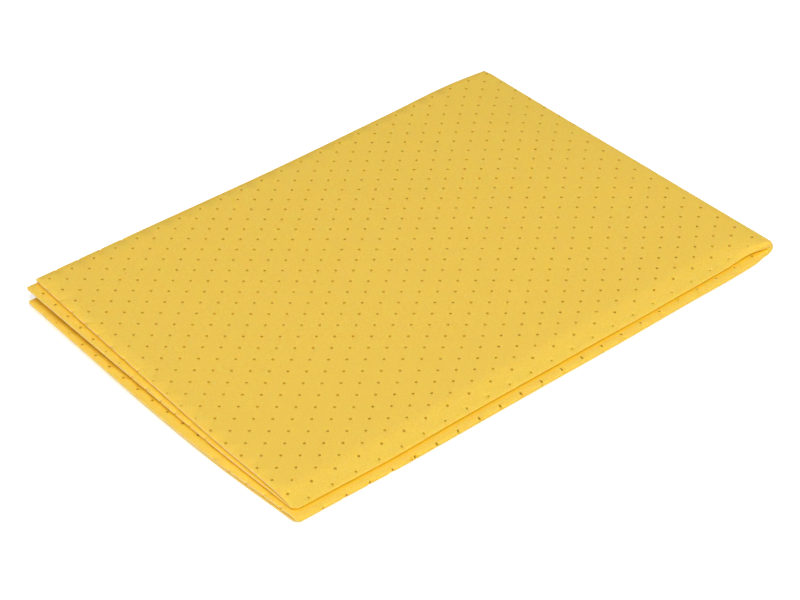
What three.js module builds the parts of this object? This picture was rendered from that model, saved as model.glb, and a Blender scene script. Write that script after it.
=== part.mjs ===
// A synthetic chamois cloth, folded in quarters: one cut sheet of perforated nonwoven.
// The first fold (the side fold) runs along the sheet and lays it double. The second fold
// (the end fold) runs across that pair and lays four layers on each other, so the side fold
// ends up as two rolls, one above the other, which turn into each other at one corner.
// Millimetres, +Z up. +X points to the end fold and -Y to the side fold. The bottom layer
// lies flat on z = 0, and the origin is under the middle of the folded cloth.
// The sheet is divided only where it bends: each half of the end fold has two quarter panels,
// a stretch of the side fold, an outer and an inner stretch of the end fold, and a corner.
// Turning the upper half about Y opens the cloth like a book.

import * as THREE from "three";
import { toCreasedNormals } from "three/addons/utils/BufferGeometryUtils.js";

// The sheet as it is cut.
const sheetLength = 400;
const sheetWidth = 300;
const sheetThickness = 1.2;

// The air between two layers that lie on each other.
const layerGap = 0.4;

// The end fold lies this far from the middle of the sheet, so the lower half is the longer.
const endFoldOffset = 1.6;

// The nesting of the end fold makes the inner layer of a pair reach past the outer one at
// the open corner. These come on top of it, because the side folds run a little askew.
const upperSkew = 1.3;
const lowerSkew = -1.1;

// The lower side fold stands out past the upper one by this much, and at the open side the
// lower half swings towards the side fold by this much at its cut end.
const lowerStep = 1.4;
const lowerSwing = 2.7;

// The upper half stands this far off the lower one at its open side, and comes down to the
// side fold and to the end fold over these widths. Its open corner is lifted further.
const loft = 1;
const sideShoulder = 110;
const endShoulder = 14;
const cornerLift = 1;

// The two halves are parted by this clearance along the crest of the end fold.
const crestClearance = 0.3;

// Facets round the side fold, round a quarter turn of the end fold, over a shoulder, and
// over the rest of a panel.
const sideFoldFacets = 8;
const endFoldFacets = 5;
const shoulderFacets = 4;
const openFacets = 3;

// Faces that meet at a sharper angle than this are shaded as an edge.
const creaseAngle = Math.PI / 4;

const quarterTurn = Math.PI / 2;

// Radii of the middle of the sheet in the side fold, and of the middle of the pair of layers
// in the end fold.
const layerPitch = sheetThickness + layerGap;
const sideRadius = layerPitch / 2;
const endRadius = layerPitch;
const outerLayerRadius = endRadius + sideRadius;
const outermostRadius = outerLayerRadius + sheetThickness / 2;
const sideBulge = sideRadius + sheetThickness / 2;

// Four layers and the three gaps between them.
const stackHeight = 4 * sheetThickness + 3 * layerGap;
const midHeight = stackHeight / 2;

// Flat stretches between the folds and the cut edges. The inner layer of a pair takes the
// shorter way round the end fold, so it reaches further by the nesting.
const sideQuarter = quarterTurn * sideRadius;
const endQuarter = quarterTurn * outerLayerRadius;
const nesting = quarterTurn * 2 * sideRadius;
const panelWidth = sheetWidth / 2 - sideQuarter;
const upperLength = sheetLength / 2 - endFoldOffset - endQuarter;
const lowerLength = sheetLength / 2 + endFoldOffset - endQuarter;

// The folds' place in the frame, with the folded cloth centred over the origin.
const reach = nesting + Math.max(upperLength + upperSkew, lowerLength + lowerSkew);
const endFoldX = (reach - outermostRadius) / 2;
const sideFoldY = (sideBulge + lowerStep - panelWidth) / 2;

// The axis about which the halves open. It lies half the outer layer's way round the fold
// past the fold's start, so that layer comes out at its own length when the cloth is open,
// and at half the height of the folded cloth, so the open cloth lies on z = 0.
const hingeX = endFoldX + endQuarter;
const hingeZ = (stackHeight + loft + cornerLift) / 2;

const upperHalf = {
  name: "upper",
  panels: { outer: "top_panel", inner: "second_panel" },
  up: 1,
  length: upperLength,
  skew: upperSkew,
  step: 0,
  swing: 0,
  loft: loft,
  cornerLift: cornerLift,
};

const lowerHalf = {
  name: "lower",
  panels: { outer: "bottom_panel", inner: "third_panel" },
  up: -1,
  length: lowerLength,
  skew: lowerSkew,
  step: lowerStep,
  swing: lowerSwing,
  loft: 0,
  cornerLift: 0,
};

const clothYellow = new THREE.Color(0xeac852);
const foldYellow = new THREE.Color(0xf6cc4c);
const clothRoughness = 0.92;

function clothMaterial(colour) {
  return new THREE.MeshStandardMaterial({
    color: colour,
    roughness: clothRoughness,
    metalness: 0,
  });
}

function ease(share) {
  const t = THREE.MathUtils.clamp(share, 0, 1);
  return t * t * (3 - 2 * t);
}

// Cumulative distances from a fold to a cut edge: short steps over the shoulder, and longer
// ones over the rest.
function distanceAt(step, facets, shoulder, length) {
  const near = Math.min(step, facets) / facets;
  const far = Math.max(step - facets, 0) / openFacets;
  return near * shoulder + far * (length - shoulder);
}

// The section of a folded pair of layers, square to the side fold. turn goes round the fold
// from the inner layer (-1) to the outer one (1), out is the distance from the fold on
// towards the open edge, and face is 1 on the outside of the fold and -1 on its inside.
function sectionPoint(turn, out, face) {
  const radius = sideRadius + (face * sheetThickness) / 2;
  const angle = turn * quarterTurn;
  return {
    y: sideFoldY - radius * Math.cos(angle) + out,
    offset: radius * Math.sin(angle),
    out: out,
    inner: turn < 0,
  };
}

// A point of the section carried along the flat stretch, run from the end fold.
function flatPoint(half, section, run) {
  const ahead = run / half.length;
  const across = section.out / panelWidth;
  const settled = ease(run / endShoulder);
  const rise =
    half.loft * settled * ease(section.out / sideShoulder) +
    half.cornerLift * (ahead * across) ** 2;
  const aside = half.step * settled * (1 - across) + half.swing * ahead * across;
  return new THREE.Vector3(
    endFoldX - run,
    section.y - aside,
    midHeight + half.up * (endRadius + section.offset) + rise,
  );
}

// A point of the section carried round the end fold, from the panels (0) to the crest (1).
function bentPoint(half, section, turn) {
  const angle = (1 - turn) * quarterTurn;
  const radius = endRadius + section.offset;
  const clearance = crestClearance / 2;
  const height = clearance + (radius - clearance) * Math.sin(angle);
  return new THREE.Vector3(
    endFoldX + radius * Math.cos(angle),
    section.y,
    midHeight + half.up * height,
  );
}

// How far the sheet runs from the end fold to its cut end.
function cutRun(half, section) {
  const extra = section.inner ? nesting + half.skew : 0;
  return half.length + (extra * section.out) / panelWidth;
}

// A closed body of the sheet's thickness over a grid of points given for both faces.
function thickPatch(rows, columns, pointAt) {
  const positions = [];
  for (const face of [1, -1]) {
    for (let row = 0; row <= rows; row++) {
      for (let column = 0; column <= columns; column++) {
        positions.push(...pointAt(row, column, face).toArray());
      }
    }
  }
  const layer = (rows + 1) * (columns + 1);
  const at = (row, column) => row * (columns + 1) + column;
  const indices = [];
  const quad = (a, b, c, d) => indices.push(a, b, c, a, c, d);
  for (let row = 0; row < rows; row++) {
    for (let column = 0; column < columns; column++) {
      const a = at(row, column);
      const b = at(row, column + 1);
      const c = at(row + 1, column + 1);
      const d = at(row + 1, column);
      quad(a, b, c, d);
      quad(d + layer, c + layer, b + layer, a + layer);
    }
  }
  const wall = (a, b) => quad(b, a, a + layer, b + layer);
  for (let column = 0; column < columns; column++) {
    wall(at(0, column), at(0, column + 1));
    wall(at(rows, column + 1), at(rows, column));
  }
  for (let row = 0; row < rows; row++) {
    wall(at(row + 1, 0), at(row, 0));
    wall(at(row, columns), at(row + 1, columns));
  }
  return { positions, indices };
}

// The patch as a geometry whose faces point out, given its handedness.
function clothGeometry(patch, mirrored) {
  if (mirrored) {
    for (let i = 0; i < patch.indices.length; i += 3) {
      const kept = patch.indices[i + 1];
      patch.indices[i + 1] = patch.indices[i + 2];
      patch.indices[i + 2] = kept;
    }
  }
  const geometry = new THREE.BufferGeometry();
  const positions = new THREE.Float32BufferAttribute(patch.positions, 3);
  geometry.setAttribute("position", positions);
  geometry.setIndex(patch.indices);
  return geometry;
}

// One quarter of the sheet, flat but for its loft: layer is 1 for the outer layer of the
// pair and -1 for the inner one.
function panelGeometry(half, layer) {
  const steps = shoulderFacets + openFacets;
  const patch = thickPatch(steps, steps, (row, column, face) => {
    const out = distanceAt(row, shoulderFacets, sideShoulder, panelWidth);
    const section = sectionPoint(layer, out, face);
    const cut = cutRun(half, section);
    return flatPoint(half, section, distanceAt(column, shoulderFacets, endShoulder, cut));
  });
  return clothGeometry(patch, half.up * layer > 0);
}

// The roll of the side fold beside a pair of panels.
function sideFoldGeometry(half) {
  const steps = shoulderFacets + openFacets;
  const patch = thickPatch(sideFoldFacets, steps, (row, column, face) => {
    const turn = (2 * row) / sideFoldFacets - 1;
    const run = distanceAt(column, shoulderFacets, endShoulder, half.length);
    return flatPoint(half, sectionPoint(turn, 0, face), run);
  });
  return clothGeometry(patch, half.up > 0);
}

// The half of the end fold that leads on from a panel to the crest.
function endFoldGeometry(half, layer) {
  const patch = thickPatch(1, endFoldFacets, (row, column, face) => {
    const section = sectionPoint(layer, row * panelWidth, face);
    return bentPoint(half, section, column / endFoldFacets);
  });
  return clothGeometry(patch, half.up * layer < 0);
}

// The corner where the roll of the side fold goes round the end fold, up to the crest.
function cornerFoldGeometry(half) {
  const patch = thickPatch(sideFoldFacets, endFoldFacets, (row, column, face) => {
    const turn = (2 * row) / sideFoldFacets - 1;
    return bentPoint(half, sectionPoint(turn, 0, face), column / endFoldFacets);
  });
  return clothGeometry(patch, half.up < 0);
}

// A half of the folded cloth, as a group whose own origin is on the opening axis.
function halfGroup(half) {
  const group = new THREE.Group();
  group.name = half.name + "_half";
  group.position.set(hingeX, 0, hingeZ);
  const add = (name, geometry, colour) => {
    geometry.translate(-hingeX, 0, -hingeZ);
    const shaded = toCreasedNormals(geometry, creaseAngle);
    const mesh = new THREE.Mesh(shaded, clothMaterial(colour));
    mesh.name = name;
    group.add(mesh);
  };
  add(half.panels.outer, panelGeometry(half, 1), clothYellow);
  add(half.panels.inner, panelGeometry(half, -1), clothYellow);
  add(half.name + "_side_fold", sideFoldGeometry(half), foldYellow);
  add(half.name + "_outer_end_fold", endFoldGeometry(half, 1), foldYellow);
  add(half.name + "_inner_end_fold", endFoldGeometry(half, -1), foldYellow);
  add(half.name + "_corner_fold", cornerFoldGeometry(half), foldYellow);
  return group;
}

const cloth = new THREE.Group();
cloth.name = "synthetic_chamois_cloth";
cloth.add(halfGroup(lowerHalf), halfGroup(upperHalf));

export default cloth;
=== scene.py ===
# A synthetic chamois cloth, folded in quarters: one cut sheet of perforated nonwoven.
# The sheet is laid out flat with its holes, meshed, and then folded point by point:
# first double along its length (side fold), then in half (end fold).
# Lengths are in millimetres up to the mesh, which is in metres like the frame.

import math

import bpy
import numpy as np
from mathutils import Matrix, Vector, geometry, kdtree


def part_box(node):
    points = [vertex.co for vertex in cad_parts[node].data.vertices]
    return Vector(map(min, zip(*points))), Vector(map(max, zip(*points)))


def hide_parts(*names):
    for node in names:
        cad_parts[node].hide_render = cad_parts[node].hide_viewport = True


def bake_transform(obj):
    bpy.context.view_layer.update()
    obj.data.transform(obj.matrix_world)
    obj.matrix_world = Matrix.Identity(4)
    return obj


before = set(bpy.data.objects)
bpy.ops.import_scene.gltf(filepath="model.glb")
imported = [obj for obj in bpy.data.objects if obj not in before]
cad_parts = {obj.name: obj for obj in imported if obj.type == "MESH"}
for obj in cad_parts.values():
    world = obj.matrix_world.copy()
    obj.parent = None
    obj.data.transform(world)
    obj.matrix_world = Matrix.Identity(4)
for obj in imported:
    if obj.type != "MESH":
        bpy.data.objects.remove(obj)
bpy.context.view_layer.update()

mm = 0.001
quarterTurn = math.pi / 2
scene = bpy.context.scene
scene.view_settings.view_transform = "Standard"

cameraSetup = {
    "place": (-375.58, -515.16, 474.45),
    "turn": -36.02,  # degrees about the vertical, from the side fold's side
    "elevation": 37.14,
    "roll": -4.13,
    "lens": 106.3,
    "sensor": 36.0,
    "clip": (0.01, 20.0),  # metres
}


def addCamera(setup):
    turn, tilt, roll = (math.radians(setup[key]) for key in ("turn", "elevation", "roll"))
    camera = bpy.data.objects.new("camera", bpy.data.cameras.new("camera"))
    camera.data.lens = setup["lens"]
    camera.data.sensor_width = setup["sensor"]
    camera.data.clip_start, camera.data.clip_end = setup["clip"]
    facing = Matrix.Rotation(turn, 4, "Z") @ Matrix.Rotation(quarterTurn - tilt, 4, "X")
    spin = Matrix.Rotation(roll, 4, "Z")
    place = Matrix.Translation(Vector(setup["place"]) * mm)
    camera.matrix_world = place @ facing @ spin
    scene.collection.objects.link(camera)
    scene.camera = camera


addCamera(cameraSetup)
print("camera placed")


def linearColour(hexCode):
    # sRGB hex to linear RGBA
    values = [int(hexCode[i:i + 2], 16) / 255 for i in (1, 3, 5)]
    toLinear = lambda v: v / 12.92 if v <= 0.04045 else ((v + 0.055) / 1.055) ** 2.4
    return (*[toLinear(v) for v in values], 1.0)


def addNode(tree, kind, inputs=None, **settings):
    # a value that is a socket is linked, any other is set
    node = tree.nodes.new(kind)
    for key, value in settings.items():
        setattr(node, key, value)
    for key, value in (inputs or {}).items():
        if isinstance(value, bpy.types.NodeSocket):
            tree.links.new(value, node.inputs[key])
        else:
            node.inputs[key].default_value = value
    return node


def newTree(material):
    material.use_nodes = True
    material.node_tree.nodes.clear()
    return material.node_tree


floorSetup = {
    "size": 6000.0,
    "drop": 0.05,       # below the cloth, so the two surfaces never coincide
    "colour": "#F4F4F2",
    "cameraGlow": 0.5,  # added for the camera alone, so the floor comes out white
}


def seenByCamera(tree):
    # 1 for rays that come from the camera, also by way of a mirror or through glass
    path = addNode(tree, "ShaderNodeLightPath")
    seen = addNode(tree, "ShaderNodeMath", {
        0: path.outputs["Is Camera Ray"], 1: path.outputs["Is Glossy Ray"],
    }, operation="MAXIMUM")
    seen = addNode(tree, "ShaderNodeMath", {
        0: seen.outputs[0], 1: path.outputs["Is Transmission Ray"],
    }, operation="MAXIMUM")
    return seen.outputs[0]


def paleFloorMaterial(setup):
    # matt white painted board: no gloss, and it holds the cloth's soft shadow
    material = bpy.data.materials.new("mattWhiteBoard")
    tree = newTree(material)
    glow = addNode(tree, "ShaderNodeMath", {
        0: seenByCamera(tree), 1: setup["cameraGlow"],
    }, operation="MULTIPLY")
    light = addNode(tree, "ShaderNodeEmission", {"Strength": glow.outputs[0]})
    board = addNode(tree, "ShaderNodeBsdfDiffuse", {"Color": linearColour(setup["colour"])})
    both = addNode(tree, "ShaderNodeAddShader", {0: light.outputs[0], 1: board.outputs[0]})
    addNode(tree, "ShaderNodeOutputMaterial", {"Surface": both.outputs[0]})
    return material


def addFloor(setup):
    half = setup["size"] / 2 * mm
    mesh = bpy.data.meshes.new("floor")
    corners = [(-half, -half, 0), (half, -half, 0), (half, half, 0), (-half, half, 0)]
    mesh.from_pydata(corners, [], [(0, 1, 2, 3)])
    floor = bpy.data.objects.new("floor", mesh)
    floor.location.z = -setup["drop"] * mm
    mesh.materials.append(paleFloorMaterial(setup))
    scene.collection.objects.link(floor)


lampSetup = {
    # name: place, side of the square softbox, watts
    "keySoftbox": ((-150.0, -1230.0, 1680.0), 1300.0, 31.5),
    "fillSoftbox": ((-1200.0, -100.0, 340.0), 650.0, 4.2),
    "topSoftbox": ((0.0, 300.0, 1900.0), 1500.0, 1.5),
}
worldLight = 0.24  # what the world gives the cloth; the camera sees it white


def addLamps(lamps):
    for name, (place, side, watts) in lamps.items():
        lamp = bpy.data.lights.new(name, "AREA")
        lamp.shape = "SQUARE"
        lamp.size = side * mm
        lamp.energy = watts
        holder = bpy.data.objects.new(name, lamp)
        holder.location = Vector(place) * mm
        holder.rotation_euler = Vector(place).to_track_quat("Z", "Y").to_euler()
        scene.collection.objects.link(holder)


def addWorld(strength):
    world = bpy.data.worlds.new("studio")
    scene.world = world
    world.use_nodes = True
    tree = world.node_tree
    tree.nodes.clear()
    level = addNode(tree, "ShaderNodeMapRange", {
        "Value": seenByCamera(tree), "To Min": strength, "To Max": 1.0})
    sky = addNode(tree, "ShaderNodeBackground", {
        "Color": (1, 1, 1, 1), "Strength": level.outputs[0]})
    addNode(tree, "ShaderNodeOutputWorld", {"Surface": sky.outputs[0]})


addFloor(floorSetup)
addLamps(lampSetup)
addWorld(worldLight)
print("floor and lamps placed")


def boxOf(node):
    low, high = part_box(node)
    return np.array(low) / mm, np.array(high) / mm


# the cloth's sizes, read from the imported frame
topLow, topHigh = boxOf("top_panel")
bottomLow, bottomHigh = boxOf("bottom_panel")
endLow, endHigh = boxOf("upper_outer_end_fold")
secondLow, thirdLow, upperRollLow = (
    boxOf(node)[0] for node in ("second_panel", "third_panel", "upper_side_fold"))

thickness = bottomHigh[2] - bottomLow[2]
layerPitch = thirdLow[2] - bottomLow[2]
stackHeight = endHigh[2]
sideFoldY = topLow[1]
endFoldX = endLow[0]
panelWidth = topHigh[1] - sideFoldY
upperLength = endFoldX - upperRollLow[0]
lowerLength = endFoldX - bottomLow[0]

# radii of the middle of the sheet in the side fold and of the middle of the pair of layers
# in the end fold, and the sheet's way round a quarter of each
sideRadius = layerPitch / 2
endRadius = layerPitch
sideQuarter = quarterTurn * sideRadius
endQuarter = quarterTurn * (endRadius + sideRadius)

# the inner layer takes the shorter way round the end fold, so it reaches further by this
nesting = math.pi * sideRadius
upperSkew = endFoldX - secondLow[0] - upperLength - nesting
lowerSkew = endFoldX - thirdLow[0] - lowerLength - nesting

# The sheet lies flat between these: along is 0 at the crest of the end fold and grows
# towards the lower half's cut end, across is 0 at the side fold and grows to the open
# side of the outer layers.
upperEnd = -(upperLength + endQuarter)
lowerEnd = lowerLength + endQuarter
openSide = panelWidth + sideQuarter
halfGap = (layerPitch - thickness) / 2  # from the middle height to either half
print(f"sheet {lowerEnd - upperEnd:.1f} x {2 * openSide:.1f} x {thickness:.2f} mm")

holes = {
    "pitchAlong": 8.678,
    "pitchAcross": 8.102,   # every second row stands half a pitch along
    "rows": 100,            # each way from the first hole, more than the sheet holds
    "columns": 60,
    "first": (-106.46, 65.95),
    "rowTurn": 0.17,        # degrees, the rows run slightly askew to the sheet
    "columnTurn": 1.04,
    "innerTurn": 0.8,       # more degrees for the columns past the side fold
    # The loose folds take up more of the sheet: past the side fold in the upper and the
    # lower half, and past the end fold, along and across.
    "sideSlack": (1.9, 0.9),
    "sideSlackFrom": 3.8,   # from the middle of the side fold
    "endSlack": (1.9, 0.7),
    "lowerTurn": 0.32,      # degrees, the lower half is folded askew by as much
    "mouth": 0.52,          # radius at both faces
    "throat": 0.2,          # radius halfway through
    "corners": 7,
    "inBendAlong": 0.7,     # a bend stretches its outside, so holes in one are narrower
    "inBendAcross": 0.5,    # and across, in the side fold only
    "bendReach": 0.5,       # how far past a bend they still are
    "clearOfCrest": 0.95,   # no hole lies nearer the crest of the end fold
    "opensAt": 0.55,        # nearer holes open into the cut edge as notches
    "clearOfEdge": 1.15,    # nearer ones close up again, and stay small
    "closedUp": 0.55,       # their share of the full size
    "leastFromEdge": 0.85,  # and they are kept this far from the edge
    "pastEdge": 0.85,       # holes this far outside the edge are still cut by it
}

cutEdge = {
    "inset": 0.3,           # how far the worn edge is rounded
    "wall": 0.3,            # share of the thickness that stays upright, each way
    "sharpFrom": 50,        # degrees between faces that are shaded as an edge
    "spacing": 2.3,
    "lastStop": 1.0,        # from the next corner
    "cornerRadius": 0.5,    # the cut corners are slightly rounded
    "clearOfCorner": 2.5,   # no notch lies nearer
    "clearOfNotch": 0.8,
    "notchHalf": 0.45,
    "notchLeast": 0.4,
    "notchPast": 0.3,       # how far a notch goes past the middle of its hole
    "notchSlant": 0.6,      # how far the worn edge turns aside at the lips of a notch
}

# Rows of points where the sheet bends, closer together the tighter the bend. They are
# distances from the middle of each fold, and their spacing along it.
bends = {
    "sideRows": 9,
    "sideSpacing": 1.6,
    "sideShoulder": (1.9, 2.7, 3.8, 5.2, 7.2, 9.6, 12.4),
    "endRows": (0, 0.05, 0.1, 0.15, 0.2, 0.3, 0.45, 0.65, 0.95, 1.3, 1.8, 2.4, 3.1, 3.77),
    "endSpacing": 1.9,
    "endShoulder": (4.8, 6.4, 8.6, 11.5, 15.0, 19.5),
    "shoulderSpacing": 3.2,
    "startPast": 1.0,       # how far past the other fold's rows they start
    "fineStop": 1.5,        # and how far before a cut edge they stop
    "coarseStop": 2.0,
    "clearOfHole": 0.95,
}


def latticeHoles():
    # the middles of all holes on the flat sheet, also of those that a cut edge opens
    rowTurn, columnTurn, innerTurn, lowerTurn = (
        math.radians(holes[key])
        for key in ("rowTurn", "columnTurn", "innerTurn", "lowerTurn"))
    alongStep = np.array([math.cos(rowTurn), math.sin(rowTurn)]) * holes["pitchAlong"]
    acrossStep = np.array([-math.sin(columnTurn), math.cos(columnTurn)])
    acrossStep = acrossStep * holes["pitchAcross"] / 2
    rows, columns = (np.arange(-holes[key], holes[key] + 1) for key in ("rows", "columns"))
    row, column = np.meshgrid(rows, columns, indexing="ij")
    column = column + 0.5 * (row % 2)
    places = (np.array(holes["first"]) + alongStep * column.reshape(-1, 1)
              + acrossStep * row.reshape(-1, 1))
    places[:, 0] -= np.minimum(places[:, 1], 0) * math.tan(innerTurn)
    # the slack in the folds moves the holes past them
    x, y = places.T.copy()
    sideSlack = np.where(x < 0, *holes["sideSlack"])
    alongSlack, acrossSlack = holes["endSlack"]
    places[:, 1] += np.where(y < -holes["sideSlackFrom"], sideSlack, 0)
    places[:, 0] -= np.where(x > 0, alongSlack, 0)
    places[:, 1] += np.where(x > 0, acrossSlack + x * math.tan(lowerTurn), 0)
    places = places[(x < 0) | (places[:, 0] > 0)]
    reach = holes["pastEdge"]
    kept = (
        (places[:, 0] > upperEnd - reach) & (places[:, 0] < lowerEnd + reach)
        & (np.abs(places[:, 1]) < openSide + reach)
        & (np.abs(places[:, 0]) > holes["clearOfCrest"])
    )
    return places[kept]


def sideOfEdge(place):
    # the nearest cut edge: 0 upper end, 1 lower end, 2 inner side, 3 outer side
    x, y = place
    gaps = [x - upperEnd, lowerEnd - x, y + openSide, openSide - y]
    nearest = int(np.argmin(gaps))
    return nearest, gaps[nearest]


def sortHoles(places):
    # the whole holes with the size of each, and those that open into each edge
    intoCloth = np.array([(1, 0), (-1, 0), (0, 1), (0, -1)])
    whole, sizes, opened = [], [], {side: [] for side in range(4)}
    for place in places:
        side, gap = sideOfEdge(place)
        if gap < holes["opensAt"]:
            opened[side].append(place)
            continue
        whole.append(place + intoCloth[side] * max(holes["leastFromEdge"] - gap, 0))
        sizes.append(holes["closedUp"] if gap < holes["clearOfEdge"] else 1.0)
    return np.array(whole), np.array(sizes), opened


def edgeStops(cuts, length):
    # where an edge gets a point (no depth) or a notch (its depth), in order
    plain = np.arange(cutEdge["spacing"], length - cutEdge["lastStop"], cutEdge["spacing"])
    clear = cutEdge["notchHalf"] + cutEdge["clearOfNotch"]
    stops = [(at, None) for at in plain if all(abs(at - cut) > clear for cut, _ in cuts)]
    margin = cutEdge["clearOfCorner"]
    stops += [(at, depth) for at, depth in cuts if margin < at < length - margin]
    return sorted(stops, key=lambda stop: stop[0])


def cutOutline(notches):
    # the cut outline, anticlockwise: points, the way from each into the cloth, and the
    # first point of the notch that each is on
    sheetCorners = [(upperEnd, -openSide), (lowerEnd, -openSide), (lowerEnd, openSide),
                    (upperEnd, openSide)]
    edgeOf = [2, 1, 3, 0]
    wide = cutEdge["notchHalf"]
    slant = cutEdge["notchSlant"]
    points, inward, notchOf = [], [], []

    def addPoint(place, way, notch=-1):
        points.append(place)
        inward.append(way)
        notchOf.append(notch)

    for side in range(4):
        start, end = (np.array(sheetCorners[k % 4]) for k in (side, side + 1))
        length = np.linalg.norm(end - start)
        ahead = (end - start) / length
        inner = np.array([-ahead[1], ahead[0]])
        cuts = [((place - start) @ ahead, (place - start) @ inner)
                for place in notches[edgeOf[side]]]
        for share in (0.0, 0.5, 1.0):
            angle = quarterTurn * share
            way = inner * -math.sin(angle) - ahead * math.cos(angle)
            addPoint(start + (ahead + inner + way) * cutEdge["cornerRadius"], -way)
        for at, depth in edgeStops(cuts, length):
            here = start + ahead * at
            if depth is None:
                addPoint(here, inner)
                continue
            notch = len(points)
            deep = max(cutEdge["notchLeast"], depth + cutEdge["notchPast"])
            addPoint(here - ahead * wide, inner - slant * ahead, notch)
            for share in (0.2, 0.4, 0.6, 0.8):
                angle = math.pi * share
                way = -ahead * math.cos(angle) * deep + inner * math.sin(angle) * wide
                place = -ahead * math.cos(angle) * wide + inner * math.sin(angle) * deep
                addPoint(here + place, way / np.linalg.norm(way), notch)
            addPoint(here + ahead * wide, inner + slant * ahead, notch)
    return np.array(points), np.array(inward), np.array(notchOf)


def bendRows():
    side = np.linspace(-sideQuarter, sideQuarter, bends["sideRows"] + 1)
    sideShoulder = np.array(bends["sideShoulder"])
    end = np.array(bends["endRows"])
    end = np.concatenate([-end[:0:-1], end])
    endShoulder = np.array(bends["endShoulder"])
    past, fineStop, coarseStop = (bends[key] for key in ("startPast", "fineStop", "coarseStop"))
    coarseStep = bends["shoulderSpacing"]
    grid = lambda xs, ys: np.stack(np.meshgrid(xs, ys, indexing="ij"), -1).reshape(-1, 2)
    parts = [grid(end, np.concatenate([[-sideShoulder[0]], side, [sideShoulder[0]]]))]
    for sign, stop in ((-1, -upperEnd), (1, lowerEnd)):
        fine = np.arange(endShoulder[0], stop - fineStop, bends["sideSpacing"]) * sign
        coarse = np.arange(endShoulder[0] + past, stop - coarseStop, coarseStep) * sign
        parts.append(grid(fine, side))
        parts.append(grid(coarse, np.concatenate([-sideShoulder, sideShoulder])))
        fine = np.arange(sideShoulder[0] + past, openSide - fineStop, bends["endSpacing"])
        coarse = np.arange(sideShoulder[1] + past, openSide - coarseStop, coarseStep)
        parts.append(grid(end, fine * sign))
        parts.append(grid(np.concatenate([-endShoulder, endShoulder]), coarse * sign))
    return np.concatenate(parts)


allHoles = latticeHoles()
punched, holeSize, notches = sortHoles(allHoles)
outline, outlineInward, notchOf = cutOutline(notches)
insetOutline = outline + outlineInward * cutEdge["inset"]

# the bends' points, but for those that would lie in a hole
finder = kdtree.KDTree(len(allHoles))
for index, place in enumerate(allHoles):
    finder.insert((place[0], place[1], 0), index)
finder.balance()
loose = bendRows()
distances = np.array([finder.find((p[0], p[1], 0))[2] for p in loose])
loose = loose[distances > bends["clearOfHole"]]

# a ring of points round each hole, at both faces and halfway through
sides = holes["corners"]
ringAngles = np.arange(sides) * 2 * math.pi / sides
ring = np.stack([np.cos(ringAngles), np.sin(ringAngles)], -1)
along, across = np.abs(punched).T
inSideFold = across < sideQuarter + holes["bendReach"]
inEndFold = along < endQuarter + holes["bendReach"]
narrow = np.stack([
    np.where(inEndFold | inSideFold, holes["inBendAlong"], 1.0) * holeSize,
    np.where(inSideFold, holes["inBendAcross"], 1.0) * holeSize,
], -1)[:, None, :]
mouths = (punched[:, None, :] + ring * holes["mouth"] * narrow).reshape(-1, 2)
throats = (punched[:, None, :] + ring * holes["throat"] * narrow).reshape(-1, 2)
ringStart = np.arange(len(punched)) * sides
following = (ringStart[:, None] + np.roll(np.arange(sides), -1)).reshape(-1)

# the flat mesh of one face, with the holes and the outline kept as edges
flatPoints = np.concatenate([mouths, insetOutline, loose])
ringEdges = list(zip(range(len(mouths)), following))
outlineStart = len(mouths)
count = len(insetOutline)
outlineEdges = [(outlineStart + k, outlineStart + (k + 1) % count) for k in range(count)]
insideOutline, sameWithin = 1, 1e-6  # triangles within the edges; mm between equal points
result = geometry.delaunay_2d_cdt([Vector(p) for p in flatPoints], ringEdges + outlineEdges,
                                  [], insideOutline, sameWithin, True)
meshed = np.array([tuple(p) for p in result[0]])
triangles = np.array(result[2])
source = [ids[0] if len(ids) else -1 for ids in result[3]]
newIndex = {old: new for new, old in enumerate(source)}

# A triangle between points of one hole or one notch covers that opening. The spare last
# value is for points that the mesher adds.
openingOf = np.full(len(flatPoints) + 1, -1)
openingOf[:outlineStart] = np.arange(outlineStart) // sides
openingOf[outlineStart:outlineStart + count] = np.where(
    notchOf < 0, -1, notchOf + outlineStart)
opening = openingOf[source][triangles]
triangles = triangles[(opening[:, 0] < 0) | (opening != opening[:, :1]).any(1)]
a, b, c = (meshed[triangles[:, k]] for k in range(3))
turnsRight = np.cross(b - a, c - a) < 0
triangles[turnsRight] = triangles[turnsRight][:, ::-1]
print(f"{len(punched)} holes, {len(allHoles) - len(punched)} notches, "
      f"{len(meshed)} points a face")

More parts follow.
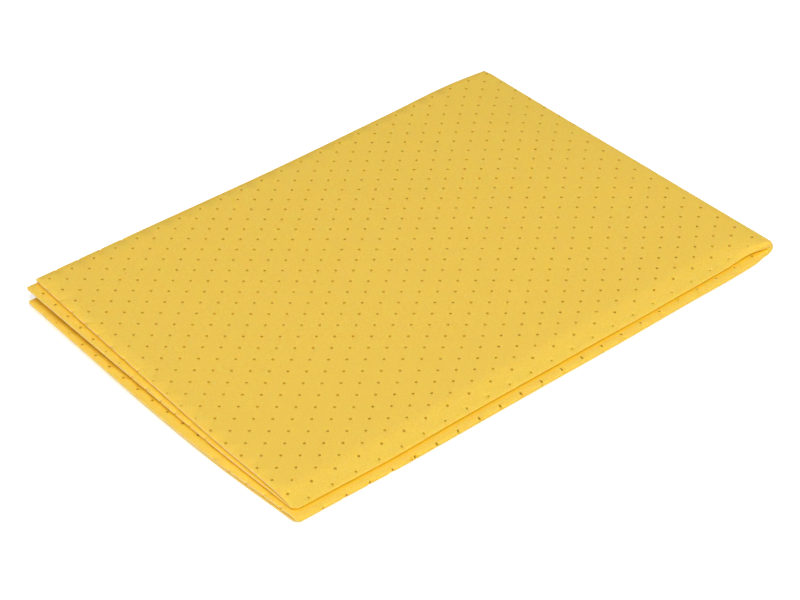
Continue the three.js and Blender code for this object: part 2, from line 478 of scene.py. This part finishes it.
drape = {
    # How far the upper half stands off the lower one, by the distance from the end fold
    # (rows) and from the side fold (columns).
    "liftRuns": (0, 14, 45, 95, 145, 200),
    "liftOuts": (0, 6, 14, 45, 95, 149),
    "lift": (
        (0, 0, 0, 0, 0, 0),
        (0.06, 0.05, 0.04, 0.17, 0.9, 0.98),
        (0.06, 0.06, 0.04, 0.38, 1.08, 1.06),
        (0.08, 0.13, 0.05, 0.26, 0.83, 1.29),
        (0.06, 0.05, 0.03, 0.04, 0.58, 1.66),
        (0.05, 0.05, 0.05, 0.05, 0.89, 2.0),
    ),
    # How far the two side folds and the open sides stray outwards, by the distance from
    # the end fold. Less than 0 is inwards.
    "foldRuns": (0, 7, 18, 36, 56, 76, 96, 116, 136, 156, 178, 200),
    "upperFold": (0, -1.2, -1.0, -0.95, -0.85, -1.1, -1.15, -1.3, -1.35, -1.05, -1.65, -2.5),
    "lowerFold": (0, 0.5, 0.85, 0.75, 0.9, 1.0, 0.85, 0.75, 0.75, 0.7, 0.15, -0.35),
    "openRuns": (0, 14, 50, 100, 150, 200),
    "openSide": (-0.54, -0.38, -0.7, -1.1, -0.3, 0.35),
    # How far the lower half swings towards the side fold at its cut end.
    "lowerSwing": 2.75,
    # How far the cut ends and the end fold stray outwards, by the share of the way from the
    # side fold to the open side.
    "shares": (0, 0.25, 0.5, 0.75, 1),
    "upperCut": (0.9, 1.09, 0.63, 0.21, -0.31),
    "lowerCut": (-1.2, 1.2, 1.8, 1.3, 0.5),
    "endFold": (0.5, 0.55, 0.68, 0.71, 1.1),
    # The side folds are pressed: by these shares of the pair's height, over these widths.
    # The more the curve is above 1, the sooner the press lets up.
    "pinchWidths": (6.5, 18.0),
    "pinchCurve": 1.1,
    "upperPinch": (0.55, 0.12),
    "lowerPinch": (0.04, 0.02),
    "pressWidth": 20.0,  # from the end fold, over which they come to be pressed
    # The upper one is pressed flat towards its cut end: share and length.
    "endPinch": 0.12,
    "endPinchLength": 14.0,
    # How much fuller the rolls are towards each other, and how far the upper one lies back.
    "fullness": 1.4,
    "setBack": 1.2,
    "setBackWidth": 25.0,
    # How far the lower half tucks in at the corner of the two folds, over which width, and
    # the shares of it along and across.
    "tuck": 0.4,
    "tuckWidth": 7.0,
    "tuckWay": (0.8, 0.6),
}


def knotWeights(at, knots):
    # how much the value at each knot counts at a place, for a smooth curve through them
    knots = np.array(knots, float)
    whole = np.eye(len(knots))
    slopes = np.gradient(whole, knots, axis=0)
    at = np.clip(at, knots[0], knots[-1])
    k = np.clip(np.searchsorted(knots, at) - 1, 0, len(knots) - 2)
    span = (knots[k + 1] - knots[k])[:, None]
    t = (at - knots[k])[:, None] / span
    return (
        (1 + 2 * t) * (1 - t) ** 2 * whole[k] + t * (1 - t) ** 2 * span * slopes[k]
        + t * t * (3 - 2 * t) * whole[k + 1] - t * t * (1 - t) * span * slopes[k + 1]
    )


def ease(share):
    # from 0 to 1 without a corner at either end
    t = np.clip(share, 0, 1)
    return t * t * (3 - 2 * t)


def foldedPlaces(along, across, height):
    # where points of the flat sheet go; height is from the middle of the sheet, plus on
    # the side that ends up outside
    upper = along < 0
    up = np.where(upper, 1.0, -1.0)
    inner = across < 0
    out = np.maximum(np.abs(across) - sideQuarter, 0)
    share = out / panelWidth
    # round the side fold
    angle = np.clip(across / sideRadius, -quarterTurn, quarterTurn)
    roll = sideRadius + height
    y = sideFoldY - roll * np.cos(angle) + out
    offset = roll * np.sin(angle)
    # round the end fold; z is from the middle height, away from the other half
    quarter = endQuarter - np.where(inner, nesting * share, 0)
    reach = np.abs(along)
    turn = np.clip(reach / quarter, 0, 1) * quarterTurn
    radius = endRadius + offset
    x = endFoldX + radius * np.cos(turn)
    z = radius * np.sin(turn)
    # along the flat stretch, with the strayings of each edge
    run = np.maximum(reach - quarter, 0)
    length = np.where(upper, upperLength, lowerLength)
    ahead = run / length
    byShare = knotWeights(share, drape["shares"])
    byRun = knotWeights(run, drape["foldRuns"])
    skew = np.where(inner, np.where(upper, upperSkew, lowerSkew), 0) * share
    cut = np.where(upper, byShare @ drape["upperCut"], byShare @ drape["lowerCut"])
    x = np.where(reach >= quarter, endFoldX, x) - run - ahead * (skew + cut)
    x = x + (byShare @ drape["endFold"]) * (1 - ahead)
    aside = np.where(upper, byRun @ drape["upperFold"], byRun @ drape["lowerFold"])
    opened = knotWeights(run, drape["openRuns"]) @ drape["openSide"]
    opened = opened - np.where(upper, 0, drape["lowerSwing"]) * ahead
    y = y - aside * (1 - share) + opened * share
    # the rolls swell towards each other, and the lower half tucks in at their corner
    settled = ease(run / drape["tuckWidth"])
    fuller = drape["fullness"] * np.cos(angle) * (1 - np.sin(angle)) / 2
    back = np.where(upper, drape["setBack"] * (1 - ease(out / drape["setBackWidth"])), 0)
    y = y + (back - fuller) * settled
    tuck = drape["tuck"] * (1 - settled) * np.sin(turn) ** 2
    tuck = np.where(upper, 0, tuck) * (1 - ease(out / drape["tuckWidth"]))
    x = x - tuck * drape["tuckWay"][0]
    y = y + tuck * drape["tuckWay"][1]
    # the pressed folds, whose underside stays where it is
    nose = out + sideRadius * (1 - np.cos(angle))
    pinch = 0
    for *shares, width in zip(drape["upperPinch"], drape["lowerPinch"], drape["pinchWidths"]):
        near = np.clip(1 - nose / width, 0, 1)
        pinch = pinch + np.where(upper, *shares) * near ** drape["pinchCurve"]
    pinch = pinch * ease(run / drape["pressWidth"])
    flat = drape["endPinch"] * ease((run - length) / drape["endPinchLength"] + 1)
    near = np.clip(1 - nose / drape["pinchWidths"][0], 0, 1)
    pinch = pinch + np.where(upper, flat, 0) * near
    under = np.where(upper, halfGap, stackHeight / 2)
    z = under + (z - under) * (1 - pinch)
    # the upper half stands off the lower one
    lift = ((knotWeights(run, drape["liftRuns"]) @ np.array(drape["lift"]))
            * knotWeights(out, drape["liftOuts"])).sum(1)
    lift = np.maximum(lift, 0)
    z = stackHeight / 2 + up * z + np.where(upper, lift, 0)
    return np.stack([x, y, z], -1)


# points of the flat sheet, with their heights from its middle
half = thickness / 2
wall = cutEdge["wall"] * thickness
layers = [
    (meshed, half),        # outside face
    (meshed, -half),       # inside face
    (throats, 0.0),
    (outline, wall),
    (outline, -wall),
]
flatPlaces = np.concatenate([np.column_stack([p, np.full(len(p), h)]) for p, h in layers])
starts = np.cumsum([0] + [len(p) for p, h in layers])
vertices = foldedPlaces(*flatPlaces.T) * mm

# both faces, the waisted walls of the holes, and the worn edge with the cut in its middle
faceCount = len(meshed)
outside = np.array([newIndex[i] for i in range(len(mouths))])
inside = outside + faceCount
throatAt = starts[2] + np.arange(len(mouths))
holeWalls = [
    np.stack([outside, outside[following], throatAt[following], throatAt], -1),
    np.stack([throatAt, throatAt[following], inside[following], inside], -1),
]
rim = np.array([newIndex[outlineStart + k] for k in range(count)])
rows = [rim, starts[3] + np.arange(count), starts[4] + np.arange(count), rim + faceCount]
edgeWalls = [
    np.stack([rows[k], rows[k + 1], np.roll(rows[k + 1], -1), np.roll(rows[k], -1)], -1)
    for k in range(3)
]
faces = (
    triangles.tolist() + (triangles[:, ::-1] + faceCount).tolist()
    + np.concatenate(holeWalls).tolist() + np.concatenate(edgeWalls).tolist()
)
# the finish of each face, by its place in clothFinish["kinds"]
feltFace, holeWall, cutFace = range(3)
finishes = np.concatenate([
    np.full(2 * len(triangles), feltFace),
    np.full(2 * len(mouths), holeWall),
    np.repeat([feltFace, cutFace, feltFace], count),
])

mesh = bpy.data.meshes.new("perforated_cloth")
mesh.from_pydata(vertices.tolist(), [], faces)
mesh.polygons.foreach_set("material_index", finishes.astype(np.int32))
mesh.polygons.foreach_set("use_smooth", np.ones(len(faces), bool))
mesh.set_sharp_from_angle(angle=math.radians(cutEdge["sharpFrom"]))
mesh.update()
mesh.validate()
cloth = bpy.data.objects.new("perforated_cloth", mesh)
scene.collection.objects.link(cloth)
mesh.calc_loop_triangles()
print(f"cloth folded: {len(mesh.vertices)} points, {len(mesh.loop_triangles)} triangles")

clothFinish = {
    "mottle": 0.4,         # mm, about as fine as a bundle of the felt's fibres
    "mottleRange": (0.3, 0.7),
    # mm: a fibre of 0.02 is too fine to show, so strands of fibres are drawn instead
    "fibres": 0.22,
    "noise": {"Detail": 2.0, "Roughness": 0.6},
    "bumpStrength": 0.3,
    "bumpHeight": 0.1,
    "specularLevel": 0.2,  # the porous felt scatters most of the skin's reflection
    # painted shade: where layers or rolls face each other and the surface is closed in, its
    # base colour is painted a deeper yellow
    "paintedShadeColour": "#FFD02C",
    "paintedShadeReach": 3.0,
    "paintedShadeOpenness": (0.95, 0.45),  # from where the tint starts to where it is full
    "paintedShadeSamples": 8,
    "scatter": 0.6,        # light wanders through the felt, so the folds glow orange
    "scatterReach": 0.8,
    "scatterRadii": (1.0, 0.65, 0.1),
    "sheen": 0.04,
    "sheenRoughness": 0.6,
    "sheenTint": "#FFE7A0",
    "kinds": (
        # soft, dull and even, with a fine felted mottle, and painted shade in its folds
        {"name": "impregnatedViscoseNonwoven", "light": "#FFD862", "dark": "#F9C546",
         "roughness": 0.92, "paintedShadeInFolds": True},
        # the walls of the holes are coloured darker and browner than the face
        {"name": "punchedHoleWall", "light": "#DEAA2C", "dark": "#CA981C",
         "roughness": 0.85},
        # the blade opens the sheet, so the cut is paler than the faces
        {"name": "knifeCutEdge", "light": "#FFD98C", "dark": "#F6CC7C",
         "roughness": 0.95},
    ),
}


# painted shade: mixes the base colour towards a deeper yellow where ambient occlusion finds the
# surface closed in, in folds and creases
def paintFoldShade(tree, colour):
    openness = addNode(tree, "ShaderNodeAmbientOcclusion", {
        "Distance": clothFinish["paintedShadeReach"] * mm,
    }, samples=clothFinish["paintedShadeSamples"])
    start, full = clothFinish["paintedShadeOpenness"]
    depth = addNode(tree, "ShaderNodeMapRange", {
        "Value": openness.outputs["AO"], "From Min": start, "From Max": full})
    return addNode(tree, "ShaderNodeMix", {
        "Factor": depth.outputs[0], "A": colour.outputs["Result"],
        "B": linearColour(clothFinish["paintedShadeColour"]),
    }, data_type="RGBA")


def clothMaterial(name, light, dark, roughness, paintedShadeInFolds=False):
    material = bpy.data.materials.new(name)
    tree = newTree(material)
    noise = {"Vector": addNode(tree, "ShaderNodeTexCoord").outputs["Object"],
             **clothFinish["noise"]}
    mottle = addNode(tree, "ShaderNodeTexNoise", {
        **noise, "Scale": 1 / (clothFinish["mottle"] * mm)})
    least, most = clothFinish["mottleRange"]
    tone = addNode(tree, "ShaderNodeMapRange", {
        "Value": mottle.outputs["Fac"], "From Min": least, "From Max": most})
    colour = addNode(tree, "ShaderNodeMix", {
        "Factor": tone.outputs[0], "A": linearColour(dark), "B": linearColour(light),
    }, data_type="RGBA")
    # painted shade in the folds and creases
    if paintedShadeInFolds:
        colour = paintFoldShade(tree, colour)
    fibres = addNode(tree, "ShaderNodeTexNoise", {
        **noise, "Scale": 1 / (clothFinish["fibres"] * mm)})
    bump = addNode(tree, "ShaderNodeBump", {
        "Height": fibres.outputs["Fac"], "Strength": clothFinish["bumpStrength"],
        "Distance": clothFinish["bumpHeight"] * mm})
    shader = addNode(tree, "ShaderNodeBsdfPrincipled", {
        "Base Color": colour.outputs["Result"],
        "Roughness": roughness,
        "Specular IOR Level": clothFinish["specularLevel"],
        "Subsurface Weight": clothFinish["scatter"],
        "Subsurface Radius": clothFinish["scatterRadii"],
        "Subsurface Scale": clothFinish["scatterReach"] * mm,
        "Sheen Weight": clothFinish["sheen"],
        "Sheen Tint": linearColour(clothFinish["sheenTint"]),
        "Sheen Roughness": clothFinish["sheenRoughness"],
        "Normal": bump.outputs["Normal"],
    })
    addNode(tree, "ShaderNodeOutputMaterial", {"Surface": shader.outputs[0]})
    return material


for kind in clothFinish["kinds"]:
    mesh.materials.append(clothMaterial(**kind))
print("cloth finished")

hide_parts("bottom_panel", "third_panel", "lower_side_fold", "lower_outer_end_fold",
            "lower_inner_end_fold", "lower_corner_fold", "top_panel", "second_panel",
            "upper_side_fold", "upper_outer_end_fold", "upper_inner_end_fold",
            "upper_corner_fold")
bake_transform(cloth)
